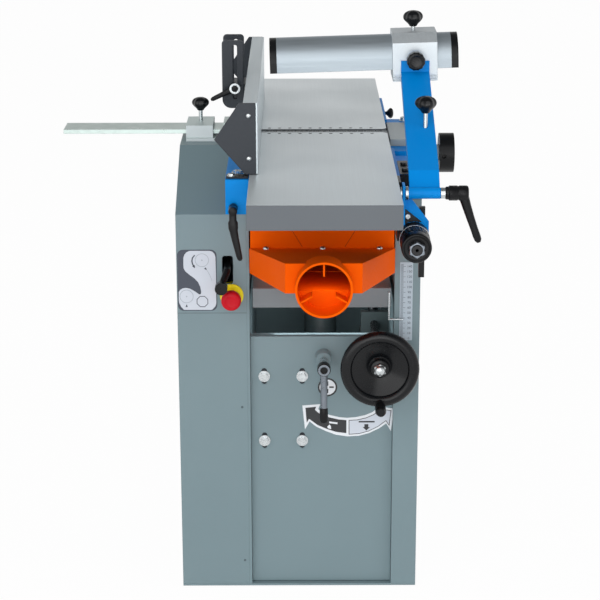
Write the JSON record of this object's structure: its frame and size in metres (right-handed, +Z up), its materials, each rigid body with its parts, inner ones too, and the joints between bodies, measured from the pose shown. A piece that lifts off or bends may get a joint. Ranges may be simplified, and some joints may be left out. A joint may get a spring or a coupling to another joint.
{
  "type": "combination planer thicknesser",
  "caption": "Floor-standing planer thicknesser with long flat tables, tilting fence, bridge guard on a swing arm, orange dust hood, lifting bed and handwheel.",
  "frame": {"origin": "on the floor, at the centre of the four anchor holes and under the cutterblock axis", "axes": "+X across the tables towards the handwheel column, +Y from the infeed end to the outfeed end, +Z up"},
  "size_m": [0.7708, 1.171, 1.091],
  "materials": {
    "grey_paint": "satin grey-green enamel",
    "blue_paint": "gloss blue enamel",
    "orange_paint": "gloss orange enamel",
    "dark_paint": "satin dark grey",
    "casting": "machined and painted grey",
    "steel": "turned or zinc plated",
    "alloy": "extruded and anodised",
    "belt": "matt",
    "black_plastic": "moulded",
    "red_plastic": "moulded",
    "yellow_plastic": "moulded"
  },
  "bodies": {
    "frame": {"base_frame": "grey_paint", "left_side_plate": "grey_paint", "drive_cover": "grey_paint", "right_column": "grey_paint", "front_panel": "grey_paint", "rear_panel": "grey_paint", "bearing_housings": "casting", "cutter_bearings": "steel", "motor": "grey_paint", "motor_bolts": "steel", "drive_belt": "belt", "feed_gearbox": "casting", "feed_chains": "steel", "table_supports": "blue_paint", "outfeed_table": "casting", "outfeed_bracket": "blue_paint", "dust_hood": "orange_paint", "lift_casting": "casting", "height_scale": "alloy", "estop_ring": "yellow_plastic", "fence_clamp_block": "steel", "cable_gland": "black_plastic"},
    "cutter": {"cutterblock": "steel", "planer_knives": "steel"},
    "motor_rotor": {"motor_pulley": "steel"},
    "toothed_roller": {"infeed_roller": "steel"},
    "smooth_roller": {"outfeed_roller": "steel"},
    "gearbox_shaft": {"drive_sprocket": "steel"},
    "fingers": {"kickback_fingers": "steel"},
    "bed": {"thicknesser_bed": "casting", "height_pointer": "steel"},
    "lift": {"lift_screw": "steel"},
    "wheel": {"handwheel": "black_plastic"},
    "wheel_grip": {"handwheel_grip": "black_plastic"},
    "lever": {"feed_lever": "steel"},
    "selector": {"selector_lever": "black_plastic"},
    "stop": {"estop_button": "red_plastic"},
    "infeed": {"infeed_table": "casting", "infeed_side_rail": "blue_paint", "left_table_bracket": "blue_paint", "pivot_mount": "dark_paint"},
    "lock": {"table_lock_lever": "black_plastic"},
    "depth": {"depth_wheel": "black_plastic"},
    "swing": {"swing_bracket": "blue_paint", "swing_drum": "black_plastic"},
    "arm": {"guard_arm": "blue_paint"},
    "arm_lever": {"arm_clamp_lever": "black_plastic"},
    "arm_knob": {"arm_stop_knob": "black_plastic"},
    "carriage": {"guard_carriage": "alloy"},
    "front_knob": {"carriage_knob": "black_plastic"},
    "guard": {"guard_profile": "alloy", "guard_end_caps": "black_plastic"},
    "top_knob": {"guard_clamp_knob": "black_plastic"},
    "fence_slide_bar": {"fence_carriage": "steel"},
    "star_knob": {"fence_star_knob": "black_plastic"},
    "fence_unit": {"fence": "alloy", "fence_end_plates": "dark_paint", "fence_links": "dark_paint"},
    "tilt_lever": {"tilt_handle": "black_plastic"}
  },
  "joints": [
    {"name": "cutter_spin", "type": "hinge", "parent": "frame", "child": "cutter", "pos_m": [0, 0, 0.814], "axis": [1, 0, 0], "continuous": true},
    {"name": "motor_spin", "type": "hinge", "parent": "frame", "child": "motor_rotor", "pos_m": [-0.2, -0.164, 0.364], "axis": [1, 0, 0], "continuous": true},
    {"name": "toothed_roller_spin", "type": "hinge", "parent": "frame", "child": "toothed_roller", "pos_m": [0, 0.068, 0.796], "axis": [1, 0, 0], "continuous": true},
    {"name": "smooth_roller_spin", "type": "hinge", "parent": "frame", "child": "smooth_roller", "pos_m": [0, -0.068, 0.796], "axis": [1, 0, 0], "continuous": true},
    {"name": "gearbox_spin", "type": "hinge", "parent": "frame", "child": "gearbox_shaft", "pos_m": [-0.16, 0, 0.69], "axis": [1, 0, 0], "continuous": true},
    {"name": "fingers_swing", "type": "hinge", "parent": "frame", "child": "fingers", "pos_m": [0, 0.112, 0.794], "axis": [-1, 0, 0], "range_deg": [0, 40]},
    {"name": "bed_lift", "type": "slide", "parent": "frame", "child": "bed", "axis": [0, 0, 1], "range_m": [-0.035, 0.02]},
    {"name": "lift_screw_turn", "type": "hinge", "parent": "frame", "child": "lift", "pos_m": [0.106, 0, 0.48], "axis": [0, 0, 1], "range_deg": [-1850, 3200]},
    {"name": "handwheel_turn", "type": "hinge", "parent": "frame", "child": "wheel", "pos_m": [0.106, -0.33, 0.472], "axis": [0, 1, 0], "range_deg": [-3200, 1850]},
    {"name": "grip_spin", "type": "hinge", "parent": "wheel", "child": "wheel_grip", "pos_m": [0.106, -0.37, 0.409], "axis": [0, 1, 0], "continuous": true},
    {"name": "feed_lever_turn", "type": "hinge", "parent": "frame", "child": "lever", "pos_m": [0.003, -0.29, 0.469], "axis": [0, 1, 0], "range_deg": [-20, 20]},
    {"name": "selector_turn", "type": "hinge", "parent": "frame", "child": "selector", "pos_m": [-0.175, -0.2, 0.648], "axis": [1, 0, 0], "range_deg": [-11.5, 0]},
    {"name": "stop_press", "type": "slide", "parent": "frame", "child": "stop", "axis": [0, 1, 0], "range_m": [0, 0.004], "stiffness_N_per_m": 2000},
    {"name": "infeed_depth", "type": "slide", "parent": "frame", "child": "infeed", "axis": [0, -0.866, -0.5], "range_m": [0, 0.006]},
    {"name": "depth_wheel_turn", "type": "hinge", "parent": "frame", "child": "depth", "pos_m": [0.245, -0.05, 0.817], "axis": [1, 0, 0], "range_deg": [0, 545]},
    {"name": "lock_lever_turn", "type": "hinge", "parent": "infeed", "child": "lock", "pos_m": [-0.158, -0.42, 0.798], "axis": [0, 1, 0], "range_deg": [-30, 30]},
    {"name": "guard_swing", "type": "hinge", "parent": "infeed", "child": "swing", "pos_m": [0.159, -0.46, 0.749], "axis": [0, 1, 0], "range_deg": [0, 90]},
    {"name": "guard_arm_raise", "type": "hinge", "parent": "swing", "child": "arm", "pos_m": [0.18, -0.43, 0.829], "axis": [1, 0, 0], "range_deg": [0, 25]},
    {"name": "arm_lever_turn", "type": "hinge", "parent": "swing", "child": "arm_lever", "pos_m": [0.23, -0.43, 0.829], "axis": [1, 0, 0], "range_deg": [-45, 5]},
    {"name": "arm_knob_turn", "type": "hinge", "parent": "arm", "child": "arm_knob", "pos_m": [0.186, -0.276, 0.94], "axis": [0, 0, 1], "continuous": true},
    {"name": "carriage_tilt", "type": "hinge", "parent": "arm", "child": "carriage", "pos_m": [0.17637, -0.12, 1.00899], "axis": [0, 1, 0], "range_deg": [0, 5]},
    {"name": "front_knob_turn", "type": "hinge", "parent": "carriage", "child": "front_knob", "pos_m": [0.17637, -0.12, 1.00899], "axis": [0, 1, 0], "continuous": true},
    {"name": "guard_reach", "type": "slide", "parent": "carriage", "child": "guard", "axis": [0.9995, 0, 0.0314], "range_m": [-0.02, 0.15]},
    {"name": "top_knob_turn", "type": "hinge", "parent": "carriage", "child": "top_knob", "pos_m": [0.17488, -0.06, 1.05647], "axis": [-0.0314, 0, 0.9995], "continuous": true},
    {"name": "fence_slide", "type": "slide", "parent": "frame", "child": "fence_slide_bar", "axis": [1, 0, 0], "range_m": [0, 0.2]},
    {"name": "star_knob_turn", "type": "hinge", "parent": "frame", "child": "star_knob", "pos_m": [-0.234, 0.012, 0.9], "axis": [0, 0, 1], "continuous": true},
    {"name": "fence_tilt", "type": "hinge", "parent": "fence_slide_bar", "child": "fence_unit", "pos_m": [-0.146, 0, 0.868], "axis": [0, -1, 0], "range_deg": [0, 25]},
    {"name": "tilt_handle_turn", "type": "hinge", "parent": "fence_unit", "child": "tilt_lever", "pos_m": [-0.165, -0.028, 0.94], "axis": [0, 1, 0], "range_deg": [0, 50]}
  ],
  "couplings": [
    {"joint": "motor_spin", "follows": "cutter_spin", "ratio": 0.42222},
    {"joint": "smooth_roller_spin", "follows": "toothed_roller_spin", "ratio": 1},
    {"joint": "gearbox_spin", "follows": "toothed_roller_spin", "ratio": 1},
    {"joint": "lift_screw_turn", "follows": "bed_lift", "rad_per_m": -1570.8},
    {"joint": "handwheel_turn", "follows": "bed_lift", "rad_per_m": 1570.8},
    {"joint": "depth_wheel_turn", "follows": "infeed_depth", "rad_per_m": 1570.8}
  ]
}
